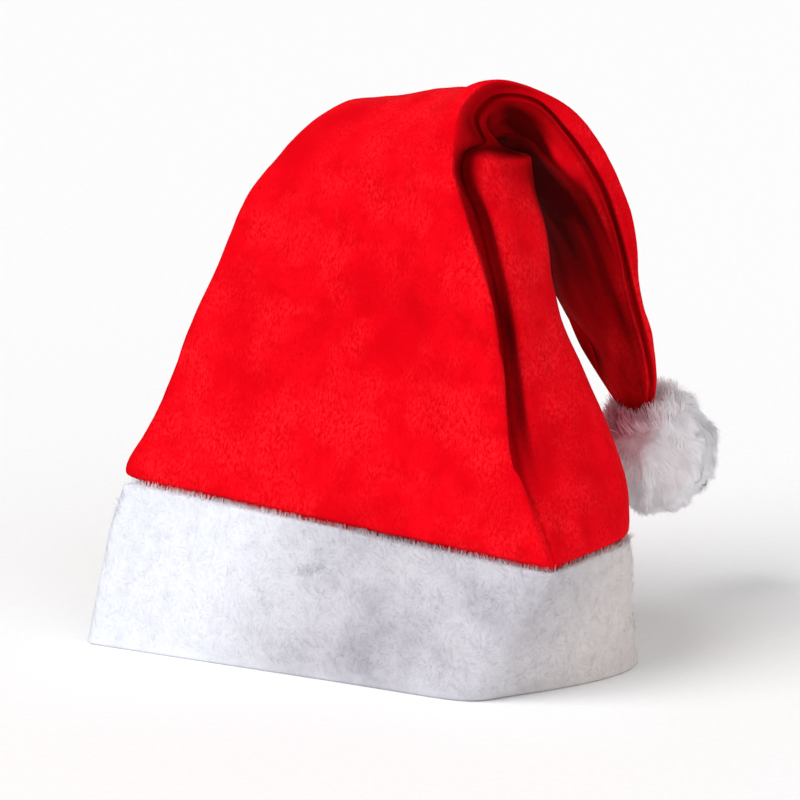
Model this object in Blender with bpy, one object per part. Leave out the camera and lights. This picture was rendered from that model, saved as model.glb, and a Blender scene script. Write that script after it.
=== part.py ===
"""A felt Santa hat that stands on its rim, with its tip folded over and hanging at the back right.

The hat was cut flat, about 280 mm wide and 430 mm from rim to tip, with a fold down its left
edge and a seam down its right edge. It is opened out to an oval at the rim. The front panel runs
from the fold to the seam, and the back panel from the seam round the back to the fold.
Metres, Z up, the front panel towards -Y. The origin is the bottom centre of the hat's box.
"""

import math
from collections import namedtuple

import bmesh
import bpy
import numpy as np
from mathutils import Vector
from mathutils.bvhtree import BVHTree

MM = 0.001

RED_FELT = 2.0 * MM
BAND_THICKNESS = 3.0 * MM
BAND_EDGE = 0.9 * MM
PIECE_GAP = 0.3 * MM
INSET_STEP = 0.4 * MM
EASE_STEP = 0.08 * MM
PUSH_ROUNDS = 8
PUSH_EASE = 0.03

# One row for each section of the hat, from the rim to the tip, in millimetres and degrees.
# fold_x, fold_y, fold_z and seam_x, seam_y, seam_z: where the left fold and the seam's lip are.
# lean: how far the section's outer side has turned from facing front (0), past up (90), to back.
# front: how far the front panel stands out between the fold and the seam.
# lip, roll: how far from the seam the front panel's soft roll starts, and how high it stands.
# valley, pleat: how far behind the lip, and how far in from it, the bottom of the pleat is.
# crest_out, crest_down: where the back panel comes out of the pleat, past the lip and behind it.
# ridge: how far the back panel swells between there and its side.
# side_out, side_down: where the back panel's side is, past the lip and behind it.
# back: how far the back panel's middle lies behind the line from fold to seam.
Section = namedtuple(
    "Section",
    "fold_x fold_y fold_z seam_x seam_y seam_z lean front lip roll valley pleat"
    " crest_out crest_down ridge side_out side_down back",
)
SECTIONS = [
    Section(*row)
    for row in (
        # fold x    y      z   seam x    y      z lean front lip roll valley pleat crest   down ridge side  down   back
        (-126.3,  4.3,   0.0,  23.4, -70.4,   0.0,   0,  0.0, 14.0, 0.9,  5.5, -5.6,  10.5, 13.9, 10.0,  36.0, 78.0, 123.0),
        (-120.4,  7.6,  32.2,  40.5, -76.6,  26.8,   0,  0.3, 12.0, 0.8,  5.0, -3.0,   5.3, 13.0,  4.8,  18.5, 67.0, 110.0),
        (-111.5, 10.9,  64.5,  55.0, -79.6,  53.7,   0,  0.6,  6.0, 0.4,  5.0, -0.8,   1.2, 11.9,  1.2,   3.5, 58.0,  98.0),
        (-110.8, 11.2,  68.6,  54.0, -79.0,  57.7,   0,  1.0,  4.0, 1.0,  3.5,  0.8,   1.9, 11.4,  2.4,   4.0, 58.0,  95.0),
        (-101.2, 12.9,  87.4,  46.8, -73.7,  78.3,   0,  2.0,  3.0, 1.4,  4.0,  2.4,   3.2, 11.4,  3.2,   9.5, 58.0,  84.0),
        ( -87.8, 15.2, 116.3,  39.0, -62.0, 101.4,   0,  4.0,  5.0, 2.2,  9.0,  5.4,   2.7, 12.1,  2.4,   9.5, 53.5,  78.0),
        ( -78.4, 16.8, 139.6,  35.9, -54.2, 127.5,   0,  5.0,  5.5, 2.5, 11.0,  6.6,   1.5, 11.8,  2.4,   2.5, 47.5,  70.0),
        ( -69.0, 18.3, 162.3,  31.6, -48.4, 154.3,   0,  6.0,  5.5, 2.5, 12.0,  7.2,   0.9, 11.9,  2.4,  -1.0, 46.0,  61.5),
        ( -59.7, 19.9, 180.4,  25.0, -40.6, 177.3,   0,  6.0,  5.5, 2.5, 12.0,  7.2,   1.2, 11.7,  2.4,   1.0, 45.0,  54.5),
        ( -47.6, 21.8, 195.1,  17.6, -32.8, 197.4,   3,  5.0,  5.5, 2.5, 12.0,  7.2,   1.4, 11.7,  2.4,   2.0, 45.0,  48.5),
        ( -41.5, 22.9, 201.2,  17.8, -31.0, 205.0,   9,  3.5,  5.5, 2.5, 13.0,  7.2,   0.6, 13.0,  2.0,   0.5, 43.5,  45.0),
        ( -35.9, 23.8, 206.5,  18.4, -28.9, 212.4,  16,  2.0,  5.5, 2.5, 23.0,  8.0,  -4.0, 27.0,  0.5,  -9.0, 36.0,  42.0),
        ( -24.2, 25.7, 214.5,  21.5, -25.0, 223.8,  32, -1.0,  5.5, 2.5, 13.0,  7.0,  -6.0, 18.0,  0.0, -12.5, 28.0,  36.5),
        ( -11.3, 31.6, 214.8,  32.2, -19.1, 231.2,  50, -1.0,  5.0, 2.2,  7.0,  4.8,  -5.0, 11.0,  0.0, -14.0, 23.0,  29.5),
        (   5.1, 40.2, 211.7,  48.8, -12.1, 225.9,  72,  3.0,  2.5, 2.8,  2.5,  2.0,  -3.5,  6.5,  0.0, -12.0, 18.5,  20.5),
        (  20.7, 49.1, 199.9,  63.1,  -1.6, 209.6, 115,  8.0, -0.5, 3.6,  1.0,  1.0,  -2.0,  4.0,  0.0,  -6.0, 13.5,  13.5),
        (  34.3, 55.8, 184.1,  75.9,   7.4, 188.3, 140, 10.0, -1.5, 2.8,  0.8,  0.8,  -2.2,  2.6,  1.0,  -7.0,  9.0,  11.0),
        (  47.4, 60.8, 158.0,  83.3,  19.1, 166.6, 148,  8.5, -1.5, 2.8,  0.8,  0.8,  -1.9,  2.0,  1.0,  -6.0,  7.0,   8.5),
        (  60.2, 62.8, 126.4,  90.4,  32.4, 136.1, 150,  7.0, -1.0, 1.8,  0.7,  0.7,  -1.7,  1.7,  0.5,  -5.0,  5.5,   7.0),
        (  69.8, 62.8, 106.4,  95.1,  39.4, 115.7, 150,  5.5, -0.5, 1.1,  0.6,  0.6,  -1.4,  1.4,  0.5,  -4.0,  4.5,   5.5),
        (  79.0, 60.8,  90.6,  98.0,  46.4,  98.4, 150,  4.0,  0.5, 0.5,  0.5,  0.5,  -1.1,  1.1,  0.3,  -3.0,  3.0,   4.0),
        (  87.5, 61.0,  79.6,  98.5,  53.0,  84.2, 150,  2.3,  1.0, 0.4,  0.4,  0.4,  -0.9,  0.9,  0.0,  -2.0,  2.0,   2.3),
        (  93.6, 60.2,  74.6,  98.4,  56.6,  76.8, 150,  1.5,  0.9, 0.3,  0.3,  0.2,  -0.5,  0.7,  0.0,  -0.9,  1.4,   1.6),
    )
]
BAND_ROWS = 3
HOLLOW_ROWS = 18

# How many spans each stretch between a section's corners is cut into, and each step along the hat.
AROUND_STEPS = (3, 3, 3, 3, 2, 2, 2, 2, 3, 4, 3, 3, 4)
ALONG_STEPS = 3

# The middle of the hat's box in the table's frame, which becomes the origin.
BOX_CENTRE = Vector((-0.4, 3.4, 0)) * MM

POMPOM_CENTRE = Vector((100.0, 60.5, 64.6)) * MM
POMPOM_RADIUS = Vector((22.4, 22.4, 24.2)) * MM
POMPOM_TOP = Vector((-0.28, -0.214, 0.935))
SOCKET_ANGLE = math.radians(20)
SOCKET_SHARE = 0.28
MOUTH_ANGLE = math.radians(36)
MOUTH_FLARE = 1.5 * MM
LOCK_DETAIL = 3
LOCK_LENGTH = 3.6 * MM


def section_corners(section):
    """A section's outline as corners in its own plane, from the fold round to the fold again."""
    half = math.dist(section[0:3], section[3:6]) / 2
    front, lip, roll, valley, pleat, crest_out, crest_down, ridge = section[7:15]
    side_out, side_down, back = section[15:]
    crest = Vector((half + crest_out, -crest_down))
    side = Vector((half + side_out, -side_down))
    swell = Vector((crest.y - side.y, side.x - crest.x)).normalized() * ridge
    corners = [
        (-half, 0),
        (-half / 2, 0.75 * front),
        (0, front),
        (half / 2, 0.75 * front),
        (half - lip, 0.2 * front + roll),
        (half, 0),
        (half - pleat, -valley),
        crest,
        (crest + side) / 2 + swell,
        side,
        (half / 2, -0.97 * back),
        (0, -back),
        (-half / 2, -0.72 * back),
        (-half, 0),
    ]
    return np.array([tuple(c) for c in corners]) * MM


def smooth_through(points, steps):
    """Points along a smooth curve through the given ones, with the given steps in each span."""
    points = np.asarray(points, float)
    padded = np.concatenate([[2 * points[0] - points[1]], points, [2 * points[-1] - points[-2]]])
    found = []
    for i, count in enumerate(steps):
        p0, p1, p2, p3 = padded[i : i + 4]
        t1 = max(np.linalg.norm(p1 - p0), 1e-9) ** 0.5
        t2 = t1 + max(np.linalg.norm(p2 - p1), 1e-9) ** 0.5
        t3 = t2 + max(np.linalg.norm(p3 - p2), 1e-9) ** 0.5
        for k in range(count):
            t = t1 + (t2 - t1) * k / count
            a1 = (t1 - t) / t1 * p0 + t / t1 * p1
            a2 = (t2 - t) / (t2 - t1) * p1 + (t - t1) / (t2 - t1) * p2
            a3 = (t3 - t) / (t3 - t2) * p2 + (t - t2) / (t3 - t2) * p3
            b1 = (t2 - t) / t2 * a1 + t / t2 * a2
            b2 = (t3 - t) / (t3 - t1) * a2 + (t - t1) / (t3 - t1) * a3
            found.append((t2 - t) / (t2 - t1) * b1 + (t - t1) / (t2 - t1) * b2)
    found.append(points[-1])
    return np.array(found)


def inset(curve, distance):
    """A closed flat curve moved inwards, in small steps that round off its tight bends."""
    count = max(1, math.ceil(distance / INSET_STEP))
    for _ in range(count if distance > 0 else 0):
        before, after = np.roll(curve, 1, axis=0), np.roll(curve, -1, axis=0)
        normals = []
        for run in (curve - before, after - curve):
            run = run / np.linalg.norm(run, axis=1)[:, None]
            normals.append(np.stack([run[:, 1], -run[:, 0]], axis=1))
        cosine = np.sum(normals[0] * normals[1], axis=1)[:, None]
        move = (normals[0] + normals[1]) / np.maximum(1 + cosine, 0.45)
        curve = curve + move * distance / count
        before, after = np.roll(curve, 1, axis=0), np.roll(curve, -1, axis=0)
        ease = 0.3 * ((before + after) / 2 - curve)
        length = np.maximum(np.linalg.norm(ease, axis=1)[:, None], 1e-12)
        curve = curve + ease * np.minimum(1, EASE_STEP / length)
    return curve


def in_space(section, curve):
    """The points of a flat curve of a section, put where the section lies on the hat."""
    fold = np.array(section[0:3]) * MM
    seam = np.array(section[3:6]) * MM
    across = (seam - fold) / np.linalg.norm(seam - fold)
    behind = np.array([-across[1], across[0], 0]) / math.hypot(across[0], across[1])
    lean = math.radians(section.lean)
    outward = -math.cos(lean) * behind + math.sin(lean) * np.array([0, 0, 1])
    outward = outward - across * np.dot(outward, across)
    outward = outward / np.linalg.norm(outward)
    return (fold + seam) / 2 + curve[:, :1] * across + curve[:, 1:] * outward


def skin(insets, first, last):
    """Rings of points, [ring, point, xyz], at each section's distance inside the hat's surface."""
    rings = []
    for section, distance in zip(SECTIONS, insets):
        outline = smooth_through(section_corners(section), AROUND_STEPS)[:-1]
        rings.append(in_space(section, inset(outline, distance)))
    rings = np.array(rings)
    steps = [ALONG_STEPS] * (len(rings) - 1)
    lines = [smooth_through(rings[:, j], steps) for j in range(rings.shape[1])]
    return np.transpose(np.array(lines), (1, 0, 2))[first : last + 1]


def push_inside(inner, outer, wall):
    """The inner rings, with each point moved in until it is a wall's thickness from the outer skin."""
    count = outer.shape[1]
    faces = [
        (i * count + j, i * count + (j + 1) % count, (i + 1) * count + (j + 1) % count, (i + 1) * count + j)
        for i in range(len(outer) - 1)
        for j in range(count)
    ]
    skin_tree = BVHTree.FromPolygons([tuple(p) for ring in outer for p in ring], faces)
    middles = outer.mean(axis=1)
    found = inner.copy()
    for _ in range(PUSH_ROUNDS):
        for i, ring in enumerate(found):
            for j, point in enumerate(ring):
                nearest, normal, _, distance = skin_tree.find_nearest(Vector(point))
                inward = Vector(point) - nearest
                away = Vector(middles[min(i, len(middles) - 1)]) - nearest
                if normal.dot(away) < 0:
                    normal = -normal
                if inward.dot(normal) < 0.2 * distance:
                    inward = normal
                if distance < wall or inward is normal:
                    ring[j] = nearest + inward.normalized() * wall
        eased = found.copy()
        eased[1:-1] = (found[:-2] + found[2:]) / 2
        around = (np.roll(found, 1, axis=1) + np.roll(found, -1, axis=1)) / 2
        around[:, 0] = found[:, 0]
        found = found + PUSH_EASE * (eased + around - 2 * found)
    return found


def close_loft(name, rings, finish):
    """A solid whose skin runs through the rings in turn. The ends are joined if both are open."""
    bm = bmesh.new()
    loops = [[bm.verts.new(p) for p in ring] for ring in rings]
    for lower, upper in zip(loops, loops[1:] + loops[:1]):
        for j in range(len(lower)):
            k = (j + 1) % len(lower)
            bm.faces.new((lower[j], lower[k], upper[k], upper[j]))
    return finished(name, bm, finish)


def finished(name, bm, finish):
    """A triangulated, outward-facing object made from a bmesh."""
    bmesh.ops.translate(bm, verts=bm.verts, vec=-BOX_CENTRE)
    bmesh.ops.recalc_face_normals(bm, faces=bm.faces)
    bmesh.ops.triangulate(bm, faces=bm.faces)
    mesh = bpy.data.meshes.new(name)
    bm.to_mesh(mesh)
    bm.free()
    mesh.materials.append(finish)
    mesh.shade_smooth()
    obj = bpy.data.objects.new(name, mesh)
    bpy.context.scene.collection.objects.link(obj)
    return obj


def make_crown(finish):
    """The red felt: hollow from inside the band up to the tail, where its two layers meet."""
    tuck = BAND_THICKNESS + PIECE_GAP
    outer_insets = [tuck] * BAND_ROWS + [0] * (len(SECTIONS) - BAND_ROWS)
    inner_insets = [d + RED_FELT for d in outer_insets]
    first = ALONG_STEPS * (BAND_ROWS - 1) - 1
    tip = ALONG_STEPS * (len(SECTIONS) - 1)
    hollow_end = ALONG_STEPS * HOLLOW_ROWS - ALONG_STEPS
    outer = skin(outer_insets, first, tip)
    inner = skin(inner_insets, first, hollow_end)
    inner = push_inside(inner, outer, RED_FELT - 0.2 * MM)
    bm = bmesh.new()
    loops = []
    for rings in (outer, inner):
        loops.append([[bm.verts.new(p) for p in ring] for ring in rings])
        for lower, upper in zip(loops[-1], loops[-1][1:]):
            for j in range(len(lower)):
                k = (j + 1) % len(lower)
                bm.faces.new((lower[j], lower[k], upper[k], upper[j]))
        bm.faces.new(loops[-1][-1])
    for j in range(len(loops[0][0])):
        k = (j + 1) % len(loops[0][0])
        bm.faces.new((loops[0][0][j], loops[0][0][k], loops[1][0][k], loops[1][0][j]))
    return finished("crown", bm, finish)


def make_band(finish):
    """The white band: a ring of thick felt with rounded edges, flat on the floor along its rim."""
    last = ALONG_STEPS * (BAND_ROWS - 1)
    surfaces = {}
    for depth in (0, BAND_EDGE, BAND_THICKNESS - BAND_EDGE, BAND_THICKNESS):
        surfaces[depth] = skin([depth] * len(SECTIONS), 0, last)
    outer, inner = surfaces[0], surfaces[BAND_THICKNESS]
    near, far = surfaces[BAND_EDGE], surfaces[BAND_THICKNESS - BAND_EDGE]
    wall = BAND_EDGE / (65 * MM)

    def at(surface, share):
        where = share * last
        i = min(int(where), last - 1)
        return surface[i] + (surface[i + 1] - surface[i]) * (where - i)

    rings = [at(near, 0), at(outer, wall)]
    rings += [at(outer, k / last) for k in range(1, last)]
    rings += [at(outer, 1 - wall), at(near, 1), at(far, 1), at(inner, 1 - wall)]
    rings += [at(inner, k / last) for k in range(last - 1, 0, -1)]
    rings += [at(inner, wall), at(far, 0)]
    return close_loft("band", rings, finish)


def make_pompom(finish):
    """A ball of yarn tufts round a socket: each face of a round form is drawn into a tapered lock."""
    bm = bmesh.new()
    bmesh.ops.create_icosphere(bm, subdivisions=LOCK_DETAIL, radius=1)
    turn = Vector((0, 0, 1)).rotation_difference(POMPOM_TOP).to_matrix()
    bmesh.ops.rotate(bm, verts=bm.verts, cent=(0, 0, 0), matrix=turn)
    in_socket = {v for v in bm.verts if v.co.angle(POMPOM_TOP) < SOCKET_ANGLE}
    for vert in bm.verts:
        way = vert.co.copy()
        vert.co = (SOCKET_SHARE if vert in in_socket else 1) * Vector(way * POMPOM_RADIUS)
        if SOCKET_ANGLE < way.angle(POMPOM_TOP) < MOUTH_ANGLE:
            vert.co += (way - POMPOM_TOP * way.dot(POMPOM_TOP)).normalized() * MOUTH_FLARE
    for face in [f for f in bm.faces if not in_socket.intersection(f.verts)]:
        centre = face.calc_center_median()
        way = centre.normalized()
        mix = 12.9898 * way.x + 78.233 * way.y + 37.719 * way.z
        lean = Vector((math.sin(91.7 * mix), math.cos(57.3 * mix), math.sin(23.1 * mix)))
        length = LOCK_LENGTH * (0.72 + 0.28 * math.sin(43.7 * mix))
        lock = bmesh.ops.extrude_discrete_faces(bm, faces=[face])["faces"][0]
        for vert in lock.verts:
            vert.co = centre + (vert.co - centre) * 0.42 + way * length + lean * 0.2 * LOCK_LENGTH
    bmesh.ops.translate(bm, verts=bm.verts, vec=POMPOM_CENTRE)
    return finished("pompom", bm, finish)


def material(name, colour, roughness):
    made = bpy.data.materials.new(name)
    made.use_nodes = True
    shader = made.node_tree.nodes["Principled BSDF"]
    shader.inputs["Base Color"].default_value = (*colour, 1)
    shader.inputs["Roughness"].default_value = roughness
    shader.inputs["Metallic"].default_value = 0
    return made


def main():
    for obj in list(bpy.data.objects):
        bpy.data.objects.remove(obj)
    red = material("red_felt", (0.75, 0.005, 0.01), 0.95)
    white = material("white_plush", (0.82, 0.82, 0.84), 0.95)
    yarn = material("white_yarn", (0.8, 0.8, 0.8), 0.95)
    make_crown(red)
    make_band(white)
    make_pompom(yarn)


main()
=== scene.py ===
"""The finish of a felt Santa hat: red felt, a white plush band and a fluffy white ball.

The felt and the band are lofted through the hat's sections at a fine step, and then get their
seam, creases and nap. Metres, Z up, the front panel towards -Y, the floor at Z = 0.
"""

import math
from collections import namedtuple

import bmesh
import bpy
import numpy as np
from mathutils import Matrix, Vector, noise
from mathutils.bvhtree import BVHTree


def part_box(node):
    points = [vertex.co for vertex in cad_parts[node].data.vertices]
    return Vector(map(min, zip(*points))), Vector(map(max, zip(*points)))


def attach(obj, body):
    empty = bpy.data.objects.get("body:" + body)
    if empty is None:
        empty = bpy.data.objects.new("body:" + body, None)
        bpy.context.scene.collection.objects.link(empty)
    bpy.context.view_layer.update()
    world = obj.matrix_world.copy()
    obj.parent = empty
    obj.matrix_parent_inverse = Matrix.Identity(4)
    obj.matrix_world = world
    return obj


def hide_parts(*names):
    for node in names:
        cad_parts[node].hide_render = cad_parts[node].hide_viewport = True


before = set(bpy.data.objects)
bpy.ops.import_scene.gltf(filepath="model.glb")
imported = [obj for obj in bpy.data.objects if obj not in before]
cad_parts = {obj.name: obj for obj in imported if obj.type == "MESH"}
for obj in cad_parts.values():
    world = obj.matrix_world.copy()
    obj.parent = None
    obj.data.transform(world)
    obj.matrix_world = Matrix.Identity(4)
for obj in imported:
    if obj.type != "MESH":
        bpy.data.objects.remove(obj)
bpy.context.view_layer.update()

MM = 0.001

FELT_THICKNESS = 2.0 * MM
BAND_THICKNESS = 3.0 * MM
BAND_HEIGHT = 65 * MM
PIECE_GAP = 0.3 * MM

# One row for each section of the hat, from the rim to the tip, in millimetres and degrees.
# fold_x, fold_y, fold_z and seam_x, seam_y, seam_z: where the left fold and the seam's lip are.
# lean: how far the section's outer side has turned from facing front (0), past up (90), to back.
# front: how far the front panel stands out between the fold and the seam.
EDGES = (
    # fold_x, fold_y, fold_z, seam_x, seam_y, seam_z, lean, front
    (-126.3,  4.3,   0.0, 23.4, -70.4,   0.0,   0,  0.0),
    (-120.4,  7.6,  32.2, 40.5, -76.6,  26.8,   0,  0.3),
    (-111.5, 10.9,  64.5, 55.0, -79.6,  53.7,   0,  0.6),
    (-110.8, 11.2,  68.6, 54.0, -79.0,  57.7,   0,  1.0),
    (-101.2, 12.9,  87.4, 46.8, -73.7,  78.3,   0,  2.0),
    ( -87.8, 15.2, 116.3, 39.0, -62.0, 101.4,   0,  4.0),
    ( -78.4, 16.8, 139.6, 35.9, -54.2, 127.5,   0,  5.0),
    ( -69.0, 18.3, 162.3, 31.6, -48.4, 154.3,   0,  6.0),
    ( -59.7, 19.9, 180.4, 25.0, -40.6, 177.3,   0,  6.0),
    ( -47.6, 21.8, 195.1, 17.6, -32.8, 197.4,   3,  5.0),
    ( -41.5, 22.9, 201.2, 17.8, -31.0, 205.0,   9,  3.5),
    ( -35.9, 23.8, 206.5, 18.4, -28.9, 212.4,  16,  2.0),
    ( -24.2, 25.7, 214.5, 21.5, -25.0, 223.8,  32, -1.0),
    ( -11.3, 31.6, 214.8, 32.2, -19.1, 231.2,  50, -1.0),
    (   5.1, 40.2, 211.7, 48.8, -12.1, 225.9,  72,  3.0),
    (  20.7, 49.1, 199.9, 63.1,  -1.6, 209.6, 115,  8.0),
    (  34.3, 55.8, 184.1, 75.9,   7.4, 188.3, 140, 10.0),
    (  47.4, 60.8, 158.0, 83.3,  19.1, 166.6, 148,  8.5),
    (  60.2, 62.8, 126.4, 90.4,  32.4, 136.1, 150,  7.0),
    (  69.8, 62.8, 106.4, 95.1,  39.4, 115.7, 150,  5.5),
    (  79.0, 60.8,  90.6, 98.0,  46.4,  98.4, 150,  4.0),
    (  87.5, 61.0,  79.6, 98.5,  53.0,  84.2, 150,  2.3),
    (  93.6, 60.2,  74.6, 98.4,  56.6,  76.8, 150,  1.5),
)

# The same sections again, with how the cloth runs on from the seam's lip and round the back.
# lip, roll: how far from the seam the front panel's soft roll starts, and how high it stands.
# valley, pleat: how far behind the lip, and how far in from it, the bottom of the pleat is.
# crest_out, crest_down: where the back panel comes out of the pleat, past the lip and behind it.
# ridge: how far the back panel swells between there and its side.
# side_out, side_down: where the back panel's side is, past the lip and behind it.
# back: how far the back panel's middle lies behind the line from fold to seam.
CLOTH = (
    # lip, roll, valley, pleat, crest_out, crest_down, ridge, side_out, side_down, back
    (14.0, 0.9,  5.5, -5.6, 10.5, 13.9, 10.0,  36.0, 78.0, 123.0),
    (12.0, 0.8,  5.0, -3.0,  5.3, 13.0,  4.8,  18.5, 67.0, 110.0),
    ( 6.0, 0.4,  5.0, -0.8,  1.2, 11.9,  1.2,   3.5, 58.0,  98.0),
    ( 4.0, 1.0,  3.5,  0.8,  1.9, 11.4,  2.4,   4.0, 58.0,  95.0),
    ( 3.0, 1.4,  4.0,  2.4,  3.2, 11.4,  3.2,   9.5, 58.0,  84.0),
    ( 5.0, 2.2,  9.0,  5.4,  2.7, 12.1,  2.4,   9.5, 53.5,  78.0),
    ( 5.5, 2.5, 11.0,  6.6,  1.5, 11.8,  2.4,   2.5, 47.5,  70.0),
    ( 5.5, 2.5, 12.0,  7.2,  0.9, 11.9,  2.4,  -1.0, 46.0,  61.5),
    ( 5.5, 2.5, 12.0,  7.2,  1.2, 11.7,  2.4,   1.0, 45.0,  54.5),
    ( 5.5, 2.5, 12.0,  7.2,  1.4, 11.7,  2.4,   2.0, 45.0,  48.5),
    ( 5.5, 2.5, 13.0,  7.2,  0.6, 13.0,  2.0,   0.5, 43.5,  45.0),
    ( 5.5, 2.5, 23.0,  8.0, -4.0, 27.0,  0.5,  -9.0, 36.0,  42.0),
    ( 5.5, 2.5, 13.0,  7.0, -6.0, 18.0,  0.0, -12.5, 28.0,  36.5),
    ( 5.0, 2.2,  7.0,  4.8, -5.0, 11.0,  0.0, -14.0, 23.0,  29.5),
    ( 2.5, 2.8,  2.5,  2.0, -3.5,  6.5,  0.0, -12.0, 18.5,  20.5),
    (-0.5, 3.6,  1.0,  1.0, -2.0,  4.0,  0.0,  -6.0, 13.5,  13.5),
    (-1.5, 2.8,  0.8,  0.8, -2.2,  2.6,  1.0,  -7.0,  9.0,  11.0),
    (-1.5, 2.8,  0.8,  0.8, -1.9,  2.0,  1.0,  -6.0,  7.0,   8.5),
    (-1.0, 1.8,  0.7,  0.7, -1.7,  1.7,  0.5,  -5.0,  5.5,   7.0),
    (-0.5, 1.1,  0.6,  0.6, -1.4,  1.4,  0.5,  -4.0,  4.5,   5.5),
    ( 0.5, 0.5,  0.5,  0.5, -1.1,  1.1,  0.3,  -3.0,  3.0,   4.0),
    ( 1.0, 0.4,  0.4,  0.4, -0.9,  0.9,  0.0,  -2.0,  2.0,   2.3),
    ( 0.9, 0.3,  0.3,  0.2, -0.5,  0.7,  0.0,  -0.9,  1.4,   1.6),
)

Section = namedtuple(
    "Section",
    "fold_x fold_y fold_z seam_x seam_y seam_z lean front lip roll valley pleat"
    " crest_out crest_down ridge side_out side_down back",
)
SECTIONS = [Section(*edges, *cloth) for edges, cloth in zip(EDGES, CLOTH)]

# How much of the front's swell there is halfway from the middle to each edge, and at the roll, and
# how much of the back's depth there is in the same way towards the seam and towards the fold.
FRONT_HALFWAY = 0.75
FRONT_AT_ROLL = 0.2
BACK_BY_SEAM = 0.97
BACK_BY_FOLD = 0.72

# The place in the tables' frame that is the scene's origin: under the middle of the hat's box.
BOX_CENTRE = np.array((-0.4, 3.4, 0)) * MM

# A row is a section's place in the tables, counted from 0 at the rim. The band takes the first
# BAND_ROWS sections, and the felt starts inside it, at FELT_START_ROW. The felt's inner wall stops
# just below the last of the first HOLLOW_ROWS sections, as higher up it comes through the pleat.
BAND_ROWS = 3
FELT_START_ROW = 1.67
HOLLOW_ROWS = 9

# How many spans each stretch between a section's corners is cut into, and how many finer ones each
# of those is cut into, round the hat. ALONG_FINE: how many there are from one section to the next.
AROUND_STEPS = (3, 3, 3, 3, 2, 2, 2, 2, 3, 4, 3, 3, 4)
AROUND_FINE = 6
ALONG_FINE = 8

# The bottom of the pleat, as one of a section's corners and as a column of the fine surface.
PLEAT_CORNER = 6
PLEAT_COLUMN = AROUND_FINE * sum(AROUND_STEPS[:PLEAT_CORNER])

# A section's outline moves inwards by INSET_STEP at most at a time. After each step a point eases
# by EASE_SHARE of the way to the middle of its neighbours, and by EASE_MOST at most. MITRE_LEAST
# keeps a sharp corner from moving too far.
INSET_STEP = 0.4 * MM
EASE_SHARE = 0.3
EASE_MOST = 0.08 * MM
MITRE_LEAST = 0.45

# The felt's inner wall has INNER_ALONG spans between sections, and its points are pushed in until
# they are the felt's thickness, less WALL_SLACK, from the outer skin. A point is inside where the
# way to it from the nearest place on the skin has INSIDE_COSINE or more to the inward normal there.
INNER_ALONG = 3
PUSH_ROUNDS = 6
WALL_SLACK = 0.2 * MM
INSIDE_COSINE = 0.2

# The least that a length is taken as where something is divided by it, and how near to each
# other two points become one.
LEAST_GAP = 1e-9
LEAST_LENGTH = 1e-12
MERGE_DISTANCE = 0.001 * MM

# The felt's seam, creases and dents fade in just above the band, over RELIEF_FADE rows.
RELIEF_FADE = 0.5
RELIEF_ROW = BAND_ROWS - RELIEF_FADE

# The seam on the back panel's side of the lip, in millimetres, by row of the tables.
# run: how far past the bottom of the pleat the stitches are. deep: how far they pull the felt in.
# welt: how far the felt stands up on each side of them.
Seam = namedtuple("Seam", "row run deep welt")
SEAM = [
    Seam(*row)
    for row in (
        (0, 0.0, 1.0, 0.3),
        (6, 0.0, 0.8, 0.2),
        (11, 0.3, 0.8, 0.2),
        (12, 0.8, 1.6, 0.5),
        (13, 1.2, 2.2, 0.8),
        (14, 1.2, 2.4, 0.9),
        (17, 1.2, 2.4, 0.9),
        (19, 1.2, 2.0, 0.7),
        (21, 1.6, 1.0, 0.3),
        (22, 1.0, 0.3, 0.1),
    )
]
SEAM_WIDTH = 0.8 * MM
WELT_AWAY = 2.2 * SEAM_WIDTH

# Soft creases of the felt: how long each wave is and how high it stands, in millimetres.
Crease = namedtuple("Crease", "length height")
CREASES = (Crease(36, 2.1), Crease(15, 0.6), Crease(6, 0.16))
CREASE_SEED = 1

# The plush band's cloudy relief, in the same way. From the floor it fades in over CLOUD_RISE.
CLOUDS = (Crease(42, 1.8), Crease(17, 0.7), Crease(7, 0.25), Crease(3, 0.1))
CLOUD_SEED = 11
CLOUD_RISE = 6 * MM

# How far the noise moves along X, Y and Z for each step of a seed.
SEED_SHIFT = (7.3, 3.1, 5.7)

# Dents pressed into the felt where the hat was handled, in millimetres and degrees.
# x, y, z: the middle. turn: the way the dent runs, seen from the front. long, wide: its half sizes.
# deep: how far it goes in at its middle.
Dent = namedtuple("Dent", "x y z turn long wide deep")
DENTS = [
    Dent(*row)
    for row in (
        (-16.5, -29.6, 140.9, 88, 9, 3.6, 2.0),
        (-32.3, -21.4, 132.9, 84, 8, 3.6, 2.0),
        (12.5, -45.8, 143.4, 92, 10, 3.4, 2.0),
        (2.1, -40.7, 142.1, 95, 7, 3.0, 1.8),
        (22.8, -51.5, 139.0, 92, 7, 3.0, 1.8),
        (-4.6, -27.3, 184.0, 10, 12, 5, 1.7),
        (12.5, -35.4, 198.7, 80, 13, 6, 2.6),
        (-10.0, -32.3, 147.1, 75, 28, 16, 3.2),
        (-10.0, -38.3, 112.3, 60, 24, 13, 2.6),
        (3.4, -56.4, 66.0, 60, 9, 6, 2.2),
        (-12.0, -50.0, 66.0, 20, 9, 4, 1.8),
        (53.2, -57.5, 95.4, 100, 20, 11, 3.6),
        (28.0, -56.9, 134.1, 5, 6, 2.0, 2.0),
        (36.0, -70.0, 88.5, 70, 7, 5.0, 2.2),
        (60.2, -71.6, 67.5, 70, 8, 2.2, 1.1),
        (71.0, 51.0, 109.0, 118, 15, 12, 2.0),
    )
]
DENT_REACH = 14 * MM

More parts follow.
